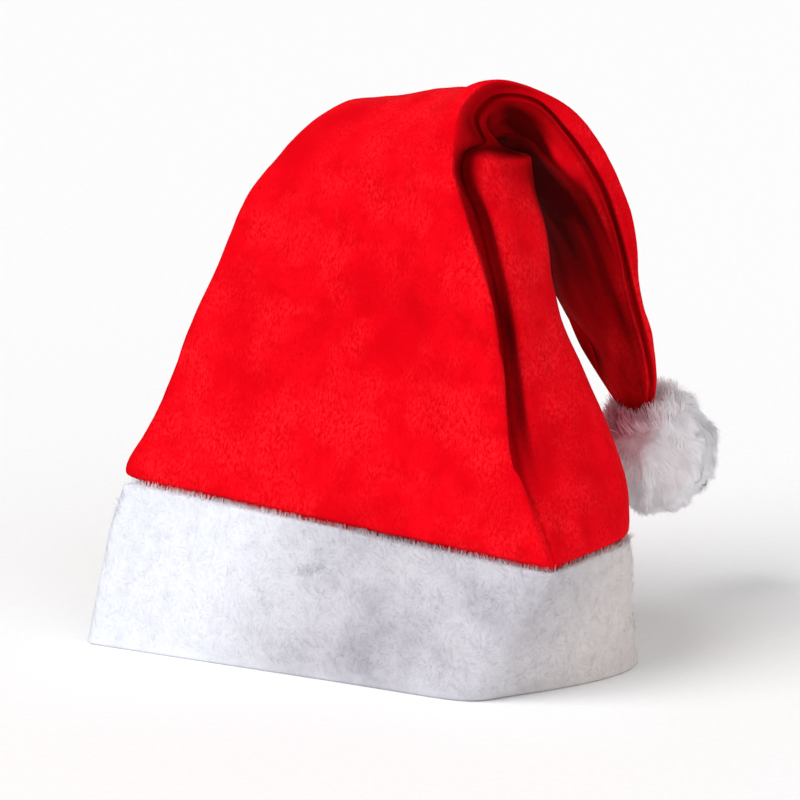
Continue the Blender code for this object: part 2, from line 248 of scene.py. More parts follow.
# The felt and the band turn the corner at the seam softly near the rim. The easing reaches up to
# SOFT_ROW, fading over the last SOFT_FADE rows, and from the first to the second of SOFT_COLUMNS,
# counted from the bottom of the pleat.
SOFT_ROW = 4.5
SOFT_FADE = 1.5
SOFT_COLUMNS = (-66, 34)
SOFT_ROUNDS = 120
SOFT_SHARE = 0.5

# The band's own section: how many heights its outer side has, and the turns of its round edges.
BAND_STEPS = 40
EDGE_TURNS = [math.radians(turn) for turn in (30, 60, 90, 120, 150)]

# How much painted shade the felt gets deep in its folds: rays go out from each point, within a
# reach, and the share of them that meets felt darkens it. One that meets felt closer than
# FOLD_CLOSEST counts only as FOLD_NARROW, as a narrow slot is dark enough by itself. Each ray is
# turned from the one before by GOLDEN_TURN, in radians, and rises more steeply than it.
# A place that faces right gets FOLD_RIGHT of its painted shade, and one that faces left all of it.
# FACING_SLOPE: how quickly the one turns into the other.
FOLD_RAYS = 14
FOLD_RISE = 0.12
FOLD_START = 0.3 * MM
FOLD_REACH = 70 * MM
FOLD_CLOSEST = 8 * MM
FOLD_NARROW = 0.4
FOLD_ROUNDS = 10
FOLD_RIGHT = 0.75
FACING_SLOPE = 1.2
GOLDEN_TURN = 2.4

# The ball, its dimple where the felt's tip goes in, and the thicker fringe round that.
# POMPOM_TOP: the way from its middle to the tip. WISP_RISE: how much of its radius is left to the
# wisps. DIMPLE_SHARE: how far in the dimple goes, as a share of the radius. DIMPLE_CURVE: how
# slowly it starts at its rim.
POMPOM_CENTRE = np.array((100.0, 60.5, 64.6)) * MM - BOX_CENTRE
POMPOM_RADIUS = np.array((24.6, 24.0, 25.2)) * MM
POMPOM_TOP = Vector((-0.28, -0.214, 0.935))
POMPOM_FINE = 6
TUFTS = (Crease(11, 2.4), Crease(5, 0.9), Crease(2.5, 0.3))
WISP_RISE = 1.3 * MM
DIMPLE_ANGLE = math.radians(32)
DIMPLE_SHARE = 0.55
DIMPLE_CURVE = 1.2
COLLAR_ANGLE = math.radians(33)
COLLAR_WIDTH = math.radians(15)

# A fibre's width and bend are shares of its length. It narrows by FIBRE_TAPER towards its tip, and
# the shortest is FIBRE_SHORTEST of a pile's length.
Fibre = namedtuple("Fibre", "name width bend")
SHORT_FIBRE = Fibre("short_fibre", 0.07, 0.15)
LONG_FIBRE = Fibre("long_fibre", 0.07, 0.06)
FIBRE_TAPER = 0.8
FIBRE_SHORTEST = 0.5

# How a pile grows. density: fibres a square metre. length: metres. lie: 0 stands up, 1 lies flat.
# comb: the way it is brushed. swirl, whorl: how far and over what length its way wanders.
# stray: how much each fibre goes its own way.
Pile = namedtuple("Pile", "name density length lie comb swirl whorl stray seed")
BAND_NAP = Pile("band_pile", 1.3e6, 2.4 * MM, 0.85, (0, 0, -0.1), 3, 9 * MM, 0.3, 3)
BAND_FRINGE = Pile("band_edge", 3.0e6, 3.2 * MM, 0.5, (0, 0, 1), 1.5, 6 * MM, 0.35, 9)
BALL_WISPS = Pile("pompom_wisps", 6.2e6, 6 * MM, 0.9, tuple(-POMPOM_TOP * 0.9), 3, 10 * MM, 0.14, 5)
BALL_FRINGE = Pile("pompom_collar", 5.0e6, 6.5 * MM, 0.35, tuple(POMPOM_TOP), 1.6, 7 * MM, 0.22, 7)

# The lowest place on the band where its nap grows, so that no fibre reaches the floor, and how
# much a place has to face up, as the Z of its normal, for the fringe at the top to grow there.
NAP_LOWEST = 3.4 * MM
FRINGE_FACING = 0.3

# Colours of the felt, as red, green and blue.
FELT_BRIGHT = (0.86, 0.0016, 0.008)
FELT_CLUMP = (0.70, 0.0004, 0.005)
FELT_HAIR = (0.92, 0.011, 0.019)
FELT_SPECK = (0.30, 0.0, 0.002)
FELT_BY_SPECK = (0.88, 0.002, 0.009)
FELT_ZONE = (0.68, 0.0, 0.005)
FELT_UNDER_HAIR = (0.66, 0.0, 0.005)
# Painted shade: the near-black red that the felt is darkened to deep in its folds.
FELT_PAINTED_FOLD_SHADE = (0.085, 0.0, 0.0005)

# Colours of the plush, with painted light and shade: a blue-white left made bright as painted
# light, a grey middle darkened as painted shade, with lilac-grey clouds of its own, and a warm grey
# right darkened as painted shade. PLUSH_LEFT and PLUSH_RIGHT: where its lit left fades out and its
# shaded right fades in, in metres along PLUSH_ACROSS. PLUSH_DEEP: how bright its deeper patches
# are beside the rest.
PLUSH_PAINTED_LIGHT = (0.78, 0.80, 0.86)
PLUSH_PAINTED_SHADE_CLOUD = (0.44, 0.43, 0.48)
PLUSH_PAINTED_SHADE = (0.59, 0.58, 0.63)
PLUSH_PAINTED_SHADE_WARM = (0.70, 0.645, 0.63)
PLUSH_ACROSS = (1, 0, -0.4)
PLUSH_LEFT = (-86 * MM, -42 * MM)
PLUSH_RIGHT = (24 * MM, 70 * MM)
PLUSH_DEEP = 0.9

# Colours of the ball, and its blush round a place beside the felt's tip. Noise adds up to
# BLUSH_WANDER to the distance from there: the blush is full at BLUSH_NEAR and gone at BLUSH_FAR.
# FLUFF_DEEP: how bright the strands' deeper patches are beside the rest.
FLUFF_COOL = (0.96, 0.95, 0.98)
FLUFF_WARM = (0.97, 0.95, 0.93)
FLUFF_SHADE = (0.90, 0.88, 0.90)
FLUFF_STRAND = (0.99, 0.975, 1.0)
FLUFF_DEEP = 0.95
BLUSH = (0.72, 0.26, 0.34)
BLUSH_PLACE = tuple(POMPOM_CENTRE + np.array((-19.0, -12.0, 15.0)) * MM)
BLUSH_NEAR = 13 * MM
BLUSH_FAR = 30 * MM
BLUSH_WANDER = 14 * MM

WHITE = (1, 1, 1)
RED_SHEEN = (1.0, 0.05, 0.05)
SHEEN_ROUGHNESS = 0.5

# The floor: its two tones, and how far it reaches each way, in metres.
FLOOR_TONES = ((0.94, 0.94, 0.94), (0.96, 0.96, 0.96))
FLOOR_REACH = 6

# side: degrees to the left of the front. rise: degrees above it. softness: how wide the lamp
# looks from the hat, in degrees.
Lamp = namedtuple("Lamp", "name side rise strength softness")
LAMPS = (Lamp("key", 60, 46, 2.05, 42), Lamp("fill", -28, 30, 0.70, 60))
WORLD_STRENGTH = 0.46

# The camera. PIXEL: the size of the photograph's pixel at the hat. Lengths are in metres, apart
# from PHOTO_SIDE, in pixels, and SENSOR_WIDTH, in millimetres.
PHOTO_SIDE = 800
PIXEL = 0.39 * MM
SENSOR_WIDTH = 36
CAMERA_DISTANCE = 2.2
CAMERA_RISE = math.radians(15)
CAMERA_AIM = Vector((-2.33, 0.89, 99.84)) * MM
CAMERA_CLIP = (0.1, 20)


def section_corners(section):
    """A section's outline as corners in its own plane, from the fold round to the fold again."""
    half = math.dist(section[0:3], section[3:6]) / 2
    front, back = section.front, section.back
    crest = Vector((half + section.crest_out, -section.crest_down))
    side = Vector((half + section.side_out, -section.side_down))
    swell = Vector((crest.y - side.y, side.x - crest.x)).normalized() * section.ridge
    corners = [
        (-half, 0),
        (-half / 2, FRONT_HALFWAY * front),
        (0, front),
        (half / 2, FRONT_HALFWAY * front),
        (half - section.lip, FRONT_AT_ROLL * front + section.roll),
        (half, 0),
        (half - section.pleat, -section.valley),
        crest,
        (crest + side) / 2 + swell,
        side,
        (half / 2, -BACK_BY_SEAM * back),
        (0, -back),
        (-half / 2, -BACK_BY_FOLD * back),
        (-half, 0),
    ]
    return np.array([tuple(corner) for corner in corners]) * MM


def smooth_through(points, steps):
    """Points on smooth curves through the given ones, with the given steps in each span."""
    points = np.asarray(points, float)
    padded = np.concatenate([2 * points[:1] - points[1:2], points, 2 * points[-1:] - points[-2:-1]])
    gaps = np.linalg.norm(np.diff(padded, axis=0), axis=-1, keepdims=True)
    gaps = np.maximum(gaps, LEAST_GAP) ** 0.5
    found = []
    for i, count in enumerate(steps):
        p0, p1, p2, p3 = padded[i : i + 4]
        t1 = gaps[i]
        t2 = t1 + gaps[i + 1]
        t3 = t2 + gaps[i + 2]
        for k in range(count):
            t = t1 + (t2 - t1) * k / count
            a1 = (t1 - t) / t1 * p0 + t / t1 * p1
            a2 = (t2 - t) / (t2 - t1) * p1 + (t - t1) / (t2 - t1) * p2
            a3 = (t3 - t) / (t3 - t2) * p2 + (t - t2) / (t3 - t2) * p3
            b1 = (t2 - t) / t2 * a1 + t / t2 * a2
            b2 = (t3 - t) / (t3 - t1) * a2 + (t - t1) / (t3 - t1) * a3
            found.append((t2 - t) / (t2 - t1) * b1 + (t - t1) / (t2 - t1) * b2)
    found.append(points[-1])
    return np.array(found)


def inset(curve, distance):
    """A closed flat curve moved inwards, in small steps that round off its tight bends."""
    count = max(1, math.ceil(distance / INSET_STEP))
    for _ in range(count if distance > 0 else 0):
        before, after = np.roll(curve, 1, axis=0), np.roll(curve, -1, axis=0)
        normals = []
        for run in (curve - before, after - curve):
            run = run / np.linalg.norm(run, axis=1)[:, None]
            normals.append(np.stack([run[:, 1], -run[:, 0]], axis=1))
        cosine = np.sum(normals[0] * normals[1], axis=1)[:, None]
        move = (normals[0] + normals[1]) / np.maximum(1 + cosine, MITRE_LEAST)
        curve = curve + move * distance / count
        before, after = np.roll(curve, 1, axis=0), np.roll(curve, -1, axis=0)
        ease = EASE_SHARE * ((before + after) / 2 - curve)
        length = np.maximum(np.linalg.norm(ease, axis=1)[:, None], LEAST_LENGTH)
        curve = curve + ease * np.minimum(1, EASE_MOST / length)
    return curve


def in_space(section, curve):
    """The points of a flat curve of a section, put where the section lies on the hat."""
    fold = np.array(section[0:3]) * MM
    seam = np.array(section[3:6]) * MM
    across = (seam - fold) / np.linalg.norm(seam - fold)
    behind = np.array([-across[1], across[0], 0]) / math.hypot(across[0], across[1])
    lean = math.radians(section.lean)
    outward = -math.cos(lean) * behind + math.sin(lean) * np.array([0, 0, 1])
    outward = outward - across * np.dot(outward, across)
    outward = outward / np.linalg.norm(outward)
    return (fold + seam) / 2 + curve[:, :1] * across + curve[:, 1:] * outward - BOX_CENTRE


def coarse_rings(insets):
    """Points [row, column, xyz] of each section, at its own distance inside the hat's skin."""
    rings = []
    for section, distance in zip(SECTIONS, insets):
        outline = smooth_through(section_corners(section), AROUND_STEPS)[:-1]
        rings.append(in_space(section, inset(outline, distance)))
    return np.array(rings)


def refine(rings, around, along):
    """Rings with more columns and rows, on smooth curves, and their first column again at the end."""
    closed = np.concatenate([rings, rings[:, :1]], axis=1)
    columns = np.swapaxes(closed, 0, 1)
    columns = smooth_through(columns, [around] * (len(columns) - 1))
    rows = np.swapaxes(columns, 0, 1)
    return smooth_through(rows, [along] * (len(rows) - 1))


def outward_normals(surface):
    """The outward unit normal at each point of a surface whose columns run round the hat."""
    around = np.gradient(surface, axis=1)
    around[:, 0] = around[:, -1] = surface[:, 1] - surface[:, -2]
    along = np.gradient(surface, axis=0)
    normals = np.cross(around, along)
    return normals / np.maximum(np.linalg.norm(normals, axis=-1, keepdims=True), LEAST_LENGTH)


def bump(distance, width):
    """A soft bump: 1 at no distance, and next to nothing from twice its width on."""
    return np.exp(-((distance / width) ** 2))


def wave(points, length, seed):
    """Smooth noise of a wave length, from about -1 to 1, at each point of an array."""
    flat = points.reshape(-1, 3) / length
    shift = Vector([seed * step for step in SEED_SHIFT])
    found = [noise.noise(Vector(p) + shift) for p in flat]
    return np.array(found).reshape(points.shape[:-1])


def crease_relief(surface, creases, seed):
    """How far soft creases move each point of a surface outwards."""
    relief = np.zeros(surface.shape[:2])
    for count, crease in enumerate(creases):
        relief += crease.height * MM * wave(surface, crease.length * MM, seed + count)
    return relief


def seam_relief(surface, rows):
    """How far the stitched seam moves each point of the felt outwards."""
    steps = np.linalg.norm(np.diff(surface, axis=1), axis=-1)
    run = np.concatenate([np.zeros((len(surface), 1)), np.cumsum(steps, axis=1)], axis=1)
    run = run - run[:, PLEAT_COLUMN : PLEAT_COLUMN + 1]
    keys = [s.row for s in SEAM]
    where, deep, welt = (
        np.interp(rows, keys, [getattr(s, name) * MM for s in SEAM])[:, None]
        for name in ("run", "deep", "welt")
    )
    beside = bump(run - where - WELT_AWAY, SEAM_WIDTH) + bump(run - where + WELT_AWAY, SEAM_WIDTH)
    return welt * beside - deep * bump(run - where, SEAM_WIDTH)


def dent_relief(surface):
    """How far the dents move each point of the felt outwards: below zero, as they go in."""
    relief = np.zeros(surface.shape[:2])
    for dent in DENTS:
        away = surface - np.array(dent[:3]) * MM
        turn = math.radians(dent.turn)
        along = away[..., 0] * math.cos(turn) + away[..., 2] * math.sin(turn)
        across = away[..., 2] * math.cos(turn) - away[..., 0] * math.sin(turn)
        near = bump(along, dent.long * MM) * bump(across, dent.wide * MM)
        relief -= dent.deep * MM * near * (np.abs(away[..., 1]) < DENT_REACH)
    return relief


def soften_corner(surface):
    """The surface with its corner at the seam eased round near the rim."""
    first, last = PLEAT_COLUMN + SOFT_COLUMNS[0], PLEAT_COLUMN + SOFT_COLUMNS[1]
    rows = np.arange(len(surface)) / ALONG_FINE
    down = np.clip((SOFT_ROW - rows) / SOFT_FADE, 0, 1)
    inside = np.sin(np.linspace(0, math.pi, last - first)) ** 0.5
    ease = SOFT_SHARE * down[:, None, None] * inside[:, None]
    found = surface.copy()
    for _ in range(SOFT_ROUNDS):
        middle = (found[:, first - 1 : last - 1] + found[:, first + 1 : last + 1]) / 2
        found[:, first:last] += ease * (middle - found[:, first:last])
    return found


def skin_of(outer):
    """A search tree of the faces between rings of points."""
    count = outer.shape[1]
    faces = []
    for i in range(len(outer) - 1):
        low, high = i * count, (i + 1) * count
        for j in range(count):
            after = (j + 1) % count
            faces.append((low + j, low + after, high + after, high + j))
    return BVHTree.FromPolygons([tuple(p) for ring in outer for p in ring], faces)


def push_inside(inner, outer, wall):
    """The inner rings, with each point moved in until it is a wall's thickness from the outer skin."""
    skin = skin_of(outer)
    middles = outer.mean(axis=1)
    found = inner.copy()
    for _ in range(PUSH_ROUNDS):
        for i, ring in enumerate(found):
            for j, point in enumerate(ring):
                nearest, normal, _, distance = skin.find_nearest(Vector(point))
                inward = Vector(point) - nearest
                away = Vector(middles[min(i, len(middles) - 1)]) - nearest
                if normal.dot(away) < 0:
                    normal = -normal
                if inward.dot(normal) < INSIDE_COSINE * distance:
                    inward = normal
                if distance < wall or inward is normal:
                    ring[j] = nearest + inward.normalized() * wall
    return found


def new_piece(name, bm):
    """A smooth-shaded mesh object made from a bmesh, which is used up."""
    mesh = bpy.data.meshes.new(name)
    bm.to_mesh(mesh)
    bm.free()
    mesh.shade_smooth()
    piece = bpy.data.objects.new(name, mesh)
    bpy.context.scene.collection.objects.link(piece)
    return piece


def wrap_grid(name, surface, closed_along=False):
    """A mesh object whose grid of faces runs through a surface's points, closed round its columns."""
    rows, columns = surface.shape[:2]
    bm = bmesh.new()
    bmesh.ops.create_grid(bm, x_segments=columns - 1, y_segments=rows - 1, size=1, calc_uvs=False)
    texture = bm.loops.layers.uv.new("UVMap")
    places = {}
    for vert in bm.verts:
        column = round((vert.co.x + 1) / 2 * (columns - 1))
        row = round((vert.co.y + 1) / 2 * (rows - 1))
        places[vert] = (row, column)
    for face in bm.faces:
        for loop in face.loops:
            row, column = places[loop.vert]
            loop[texture].uv = (column / (columns - 1), row / (rows - 1))
    for vert, (row, column) in places.items():
        vert.co = surface[row, column]
    bmesh.ops.remove_doubles(bm, verts=bm.verts, dist=MERGE_DISTANCE)
    if not closed_along:
        bmesh.ops.holes_fill(bm, edges=[e for e in bm.edges if e.is_boundary], sides=0)
    bmesh.ops.recalc_face_normals(bm, faces=bm.faces)
    return new_piece(name, bm)


def felt_skin(coarse):
    """The felt's outer side at a fine step, from inside the band up, with seam, creases and dents."""
    skin = soften_corner(refine(coarse, AROUND_FINE, ALONG_FINE))
    rows = np.arange(len(skin)) / ALONG_FINE
    relief = seam_relief(skin, rows) + crease_relief(skin, CREASES, CREASE_SEED) + dent_relief(skin)
    relief *= np.clip((rows - RELIEF_ROW) / RELIEF_FADE, 0, 1)[:, None]
    skin = skin + outward_normals(skin) * relief[..., None]
    return skin[round(FELT_START_ROW * ALONG_FINE) :]


def make_crown():
    """The red felt, from inside the band up over the hood and down the tail, with its inner wall."""
    tuck = BAND_THICKNESS + PIECE_GAP
    outer_insets = [tuck] * BAND_ROWS + [0] * (len(SECTIONS) - BAND_ROWS)
    inner_insets = [depth + FELT_THICKNESS for depth in outer_insets]
    outer = felt_skin(coarse_rings(outer_insets))
    inner = smooth_through(coarse_rings(inner_insets), [INNER_ALONG] * (len(SECTIONS) - 1))
    inner = inner[round(FELT_START_ROW * INNER_ALONG) : INNER_ALONG * (HOLLOW_ROWS - 1)]
    inner = push_inside(inner, outer[:, :-1], FELT_THICKNESS - WALL_SLACK)
    inner = refine(inner, AROUND_FINE, 1)
    return wrap_grid("crown_felt", np.concatenate([outer[::-1], inner]))


def band_path():
    """The band's own section: its height and its depth in the wall, each from 0 to 1, all round."""
    edge = BAND_THICKNESS / 2 / BAND_HEIGHT
    up = np.linspace(edge, 1 - edge, BAND_STEPS)
    path = [(height, 0) for height in up]
    path += [(1 - edge + edge * math.sin(turn), (1 - math.cos(turn)) / 2) for turn in EDGE_TURNS]
    path += [(height, 1) for height in up[::-2]]
    path += [(edge - edge * math.sin(turn), (1 + math.cos(turn)) / 2) for turn in EDGE_TURNS]
    return np.array(path + path[:1])


def make_band():
    """The plush band: a thick ring with round soft edges and a cloudy relief."""
    last = ALONG_FINE * (BAND_ROWS - 1)
    outer, inner = (
        soften_corner(refine(coarse_rings([depth] * len(SECTIONS)), AROUND_FINE, ALONG_FINE))
        for depth in (0, BAND_THICKNESS)
    )
    path = band_path()
    heights = path[:, 0] * last
    depths = path[:, 1][:, None, None]
    low = np.clip(heights.astype(int), 0, last - 1)
    share = (heights - low)[:, None, None]
    outside = outer[low] * (1 - share) + outer[low + 1] * share
    inside = inner[low] * (1 - share) + inner[low + 1] * share
    surface = outside * (1 - depths) + inside * depths
    relief = crease_relief(surface, CLOUDS, CLOUD_SEED)
    relief *= np.clip(surface[..., 2] / CLOUD_RISE, 0, 1)
    surface = surface + outward_normals(outside) * relief[..., None] * (1 - depths)
    return wrap_grid("band_plush", surface, closed_along=True)


def make_pompom():
    """The ball at the tip: a lumpy core with a dimple where the felt goes in."""
    bm = bmesh.new()
    bmesh.ops.create_icosphere(bm, subdivisions=POMPOM_FINE, radius=1)
    for vert in bm.verts:
        way = vert.co.normalized()
        place = Vector(np.array(way) * POMPOM_RADIUS)
        lump = sum(t.height * noise.noise(place / (t.length * MM)) for t in TUFTS) * MM
        dimple = max(0, 1 - way.angle(POMPOM_TOP) / DIMPLE_ANGLE)
        vert.co = place * (1 - DIMPLE_SHARE * dimple**DIMPLE_CURVE) + way * (lump - WISP_RISE)
    bmesh.ops.translate(bm, verts=bm.verts, vec=POMPOM_CENTRE)
    return new_piece("pompom_core", bm)


def make_fibre(fibre):
    """A fibre of unit length along Z: a flat strip that narrows and bends towards +Y at its tip."""
    bm = bmesh.new()
    bmesh.ops.create_grid(bm, x_segments=1, y_segments=2, size=0.5)
    for vert in bm.verts:
        along = vert.co.y + 0.5
        width = fibre.width * (1 - FIBRE_TAPER * along)
        vert.co = Vector((vert.co.x * width, fibre.bend * along**2, along))
    made = new_piece(fibre.name, bm)
    made.hide_render = True
    return made


def add_node(tree, kind, inputs=None, **settings):
    """A node with its settings, and its inputs set to values or linked from sockets."""
    made = tree.nodes.new(kind)
    for name, value in settings.items():
        setattr(made, name, value)
    for key, value in (inputs or {}).items():
        if isinstance(value, bpy.types.NodeSocket):
            tree.links.new(value, made.inputs[key])
        else:
            made.inputs[key].default_value = value
    return made


def pile_tree(fibre, pile):
    """The nodes that grow a pile of fibres on a mesh, where its attribute pile lets them."""
    tree = bpy.data.node_groups.new(pile.name, "GeometryNodeTree")
    tree.interface.new_socket("Geometry", in_out="INPUT", socket_type="NodeSocketGeometry")
    tree.interface.new_socket("Geometry", in_out="OUTPUT", socket_type="NodeSocketGeometry")

    def vector(operation, first, second):
        """A sum, difference or dot product of two vectors, or the first scaled by a number."""
        inputs = {0: first, 1: second}
        if operation == "SCALE":
            inputs = {0: first, "Scale": second}
        made = add_node(tree, "ShaderNodeVectorMath", inputs, operation=operation)
        return made.outputs["Value" if operation == "DOT_PRODUCT" else "Vector"]

    inside = tree.nodes.new("NodeGroupInput")
    outside = tree.nodes.new("NodeGroupOutput")
    grows = add_node(tree, "GeometryNodeInputNamedAttribute", {"Name": "pile"}, data_type="FLOAT")
    thick = {0: grows.outputs["Attribute"], 1: pile.density}
    thick = add_node(tree, "ShaderNodeMath", thick, operation="MULTIPLY").outputs[0]
    spread = {"Mesh": inside.outputs[0], "Density": thick, "Seed": pile.seed}
    spread = add_node(tree, "GeometryNodeDistributePointsOnFaces", spread)
    normal = spread.outputs["Normal"]

    whorls = {"Scale": 1 / pile.whorl, "Detail": 1}
    whorls = add_node(tree, "ShaderNodeTexNoise", whorls).outputs["Color"]
    whorls = vector("SUBTRACT", whorls, (0.5, 0.5, 0.5))
    way = vector("ADD", vector("SCALE", whorls, pile.swirl), pile.comb)
    rise = vector("DOT_PRODUCT", way, normal)
    way = vector("SUBTRACT", way, vector("SCALE", normal, rise))
    way = add_node(tree, "ShaderNodeVectorMath", {0: way}, operation="NORMALIZE").outputs[0]
    way = vector("SCALE", way, pile.lie)
    way = vector("ADD", way, vector("SCALE", normal, 1 - pile.lie))
    stray = {"Min": (-pile.stray,) * 3, "Max": (pile.stray,) * 3}
    stray = add_node(tree, "FunctionNodeRandomValue", stray, data_type="FLOAT_VECTOR")
    way = vector("ADD", way, stray.outputs["Value"])

    turn = add_node(tree, "FunctionNodeAlignRotationToVector", {"Vector": way}, axis="Z")
    turn = {"Rotation": turn.outputs[0], "Vector": normal}
    turn = add_node(tree, "FunctionNodeAlignRotationToVector", turn, axis="Y", pivot_axis="Z")
    size = {2: FIBRE_SHORTEST * pile.length, 3: pile.length}
    size = add_node(tree, "FunctionNodeRandomValue", size, data_type="FLOAT").outputs[1]
    source = add_node(tree, "GeometryNodeObjectInfo", {"Object": fibre}).outputs["Geometry"]
    place = {
        "Points": spread.outputs["Points"],
        "Instance": source,
        "Rotation": turn.outputs[0],
        "Scale": size,
    }
    place = add_node(tree, "GeometryNodeInstanceOnPoints", place)
    real = add_node(tree, "GeometryNodeRealizeInstances", {0: place.outputs[0]})
    tree.links.new(real.outputs[0], outside.inputs[0])
    return tree


def grow_pile(ground, fibre, pile, finish):
    """A piece of its own with the fibres that grow on another piece."""
    grower = ground.modifiers.new(pile.name, "NODES")
    grower.node_group = pile_tree(fibre, pile)
    evaluated = ground.evaluated_get(bpy.context.evaluated_depsgraph_get())
    mesh = bpy.data.meshes.new_from_object(evaluated)
    ground.modifiers.remove(grower)
    mesh.name = pile.name
    mesh.materials.clear()
    mesh.materials.append(finish)
    hair = bpy.data.objects.new(pile.name, mesh)
    bpy.context.scene.collection.objects.link(hair)
    return hair


def painted_shade_share(vert, felt, ways):
    """How much painted shade a vertex gets: how far it is shut in by the felt round it, from 0 to 1,
    and less if it faces right.
    """
    normal = vert.normal
    side = normal.orthogonal().normalized()
    other = normal.cross(side)
    start = vert.co + normal * FOLD_START
    met = 0
    for way in ways:
        aim = side * way.x + other * way.y + normal * way.z
        away = felt.ray_cast(start, aim, FOLD_REACH)[3]
        if away is not None:
            met += 1 if away > FOLD_CLOSEST else FOLD_NARROW
    leftward = min(1, max(0, 0.5 - FACING_SLOPE * normal.x))
    return met * (FOLD_RIGHT + (1 - FOLD_RIGHT) * leftward) / FOLD_RAYS


def evened(bm, shares):
    """Values at a bmesh's vertices, with each drawn halfway to its neighbours' mean, round by round."""
    edges = np.array([(e.verts[0].index, e.verts[1].index) for e in bm.edges])
    ends = np.concatenate([edges[:, 0], edges[:, 1]])
    others = np.concatenate([edges[:, 1], edges[:, 0]])
    count = np.maximum(np.bincount(ends, minlength=len(shares)), 1)
    for _ in range(FOLD_ROUNDS):
        around = np.bincount(ends, weights=shares[others], minlength=len(shares))
        shares = (shares + around / count) / 2
    return shares


def mark_painted_fold_shade(piece):
    """Gives a piece the attribute fold, its share of painted shade: 0 in the open, towards 1 deep in a
    fold.
    """
    bm = bmesh.new()
    bm.from_mesh(piece.data)
    felt = BVHTree.FromBMesh(bm)
    ways = []
    for k in range(FOLD_RAYS):
        turn = GOLDEN_TURN * k
        ways.append(Vector((math.cos(turn), math.sin(turn), FOLD_RISE + k / FOLD_RAYS)))
    shares = np.array([painted_shade_share(vert, felt, ways) for vert in bm.verts])
    shares = evened(bm, shares)
    bm.free()
    layer = piece.data.attributes.new("fold", "FLOAT", "POINT")
    layer.data.foreach_set("value", shares.astype(np.float32))


def mark_pile(piece, grows):
    """Gives a piece the attribute that says where its pile grows, from 0 to 1 at each vertex."""
    layers = piece.data.attributes
    layer = layers.get("pile") or layers.new("pile", "FLOAT", "POINT")
    piece.data.update()
    for vert in piece.data.vertices:
        layer.data[vert.index].value = grows(vert)


def finish_nodes(name, roughness=1.0, sheen=0.0, tint=WHITE, specular=0.1):
    """A new material with its node tree, its shader and Object coordinates."""
    made = bpy.data.materials.new(name)
    made.use_nodes = True
    tree = made.node_tree
    shader = tree.nodes["Principled BSDF"]
    shader.inputs["Roughness"].default_value = roughness
    shader.inputs["Sheen Weight"].default_value = sheen
    shader.inputs["Sheen Roughness"].default_value = SHEEN_ROUGHNESS
    shader.inputs["Sheen Tint"].default_value = (*tint, 1)
    shader.inputs["Specular IOR Level"].default_value = specular
    where = tree.nodes.new("ShaderNodeTexCoord")
    return made, tree, shader, where.outputs["Object"]


def speckle(tree, where, length, detail=2.0, rough=0.55, stretch=(1, 1, 1)):
    """The noise of a wave length in metres at each place, as a socket from 0 to 1."""
    mapping = tree.nodes.new("ShaderNodeMapping")
    mapping.inputs["Scale"].default_value = stretch
    texture = tree.nodes.new("ShaderNodeTexNoise")
    texture.inputs["Scale"].default_value = 1 / length
    texture.inputs["Detail"].default_value = detail
    texture.inputs["Roughness"].default_value = rough
    tree.links.new(where, mapping.inputs["Vector"])
    tree.links.new(mapping.outputs[0], texture.inputs["Vector"])
    return texture.outputs["Fac"]


def blended(tree, share, first, second, low=0.35, high=0.65):
    """A colour between two as share goes from low to high. Each is a colour or a socket."""
    reach = tree.nodes.new("ShaderNodeMapRange")
    reach.inputs["From Min"].default_value = low
    reach.inputs["From Max"].default_value = high
    tree.links.new(share, reach.inputs["Value"])
    mix = tree.nodes.new("ShaderNodeMix")
    mix.data_type = "RGBA"
    tree.links.new(reach.outputs["Result"], mix.inputs["Factor"])
    for socket, colour in ((mix.inputs[6], first), (mix.inputs[7], second)):
        if isinstance(colour, tuple):
            socket.default_value = (*colour, 1)
        else:
            tree.links.new(colour, socket)
    return mix.outputs[2]


def raised(tree, shader, heights):
    """Bumps on the shader's surface: each is a height socket, its strength and its size in metres."""
    normal = None
    for height, strength, distance in heights:
        relief = tree.nodes.new("ShaderNodeBump")
        relief.inputs["Strength"].default_value = strength
        relief.inputs["Distance"].default_value = distance
        tree.links.new(height, relief.inputs["Height"])
        if normal is not None:
            tree.links.new(normal, relief.inputs["Normal"])
        normal = relief.outputs["Normal"]
    tree.links.new(normal, shader.inputs["Normal"])


def darker(colour, share):
    """A share of a colour."""
    return tuple(share * part for part in colour)


def red_felt():
    """Pressed red felt: mottled clumps, dark specks in patches, short hairs, and painted shade deep in
    its folds.
    """
    made, tree, shader, where = finish_nodes(
        "red_felt", roughness=0.95, sheen=0.02, tint=RED_SHEEN, specular=0.03
    )
    zones = speckle(tree, where, 52 * MM, detail=2)
    clumps = speckle(tree, where, 9 * MM, detail=5, rough=0.6)
    specks = speckle(tree, where, 1.2 * MM, detail=3, rough=0.7)
    patches = speckle(tree, where, 22 * MM, detail=3)
    hairs = speckle(tree, where, 0.9 * MM, detail=3, rough=0.7, stretch=(1, 1, 0.45))
    fold = add_node(tree, "ShaderNodeAttribute", attribute_name="fold").outputs["Fac"]
    colour = blended(tree, clumps, FELT_BRIGHT, FELT_CLUMP, low=0.36, high=0.64)
    light = blended(tree, hairs, colour, FELT_HAIR, low=0.44, high=0.62)
    colour = blended(tree, patches, light, colour, low=0.40, high=0.56)
    dark = blended(tree, specks, FELT_SPECK, FELT_BY_SPECK, low=0.32, high=0.45)
    colour = blended(tree, patches, colour, dark, low=0.56, high=0.74)
    colour = blended(tree, zones, FELT_ZONE, colour, low=0.34, high=0.50)
    colour = blended(tree, hairs, FELT_UNDER_HAIR, colour, low=0.28, high=0.46)
    # Painted shade: the felt darkens towards a near-black red where the fold attribute says it is shut
    # in.
    colour = blended(tree, fold, colour, FELT_PAINTED_FOLD_SHADE, low=0.05, high=0.40)
    tree.links.new(colour, shader.inputs["Base Color"])
    raised(tree, shader, [(clumps, 0.5, 1.2 * MM), (hairs, 0.5, 0.3 * MM), (specks, 0.35, 0.4 * MM)])
    return made


